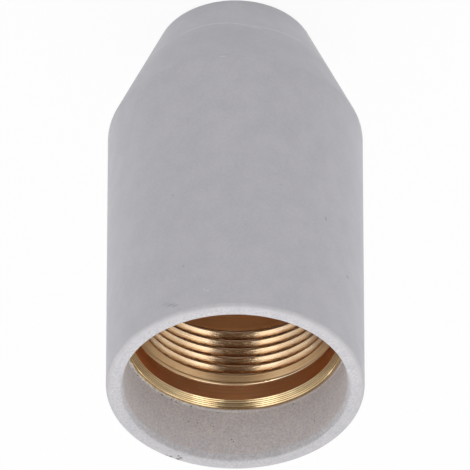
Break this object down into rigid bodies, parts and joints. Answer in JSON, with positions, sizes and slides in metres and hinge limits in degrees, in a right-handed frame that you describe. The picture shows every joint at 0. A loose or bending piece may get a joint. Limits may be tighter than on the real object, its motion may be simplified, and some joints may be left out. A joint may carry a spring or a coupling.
{
  "type": "plasma torch shield cap",
  "caption": "Thimble-shaped torch shield cap: moulded insulating shell with straight skirt, conical open nose and bonded brass insert with internal thread.",
  "frame": {"origin": "centre of the nose's flat end, where the cap stands with its mouth up", "axes": "+Z along the axis from the nose up to the mouth, the way the torch head leaves; the part is round, so X and Y are free"},
  "size_m": [0.0298, 0.0298, 0.052],
  "materials": {
    "moulded_composite": "light grey mineral-filled moulding, matt, fine grain, turned witness rings on the nose",
    "turned_brass": "machined, fine turning lines"
  },
  "bodies": {
    "root": {"insulating_shell": "moulded_composite", "threaded_insert": "turned_brass"}
  },
  "joints": []
}
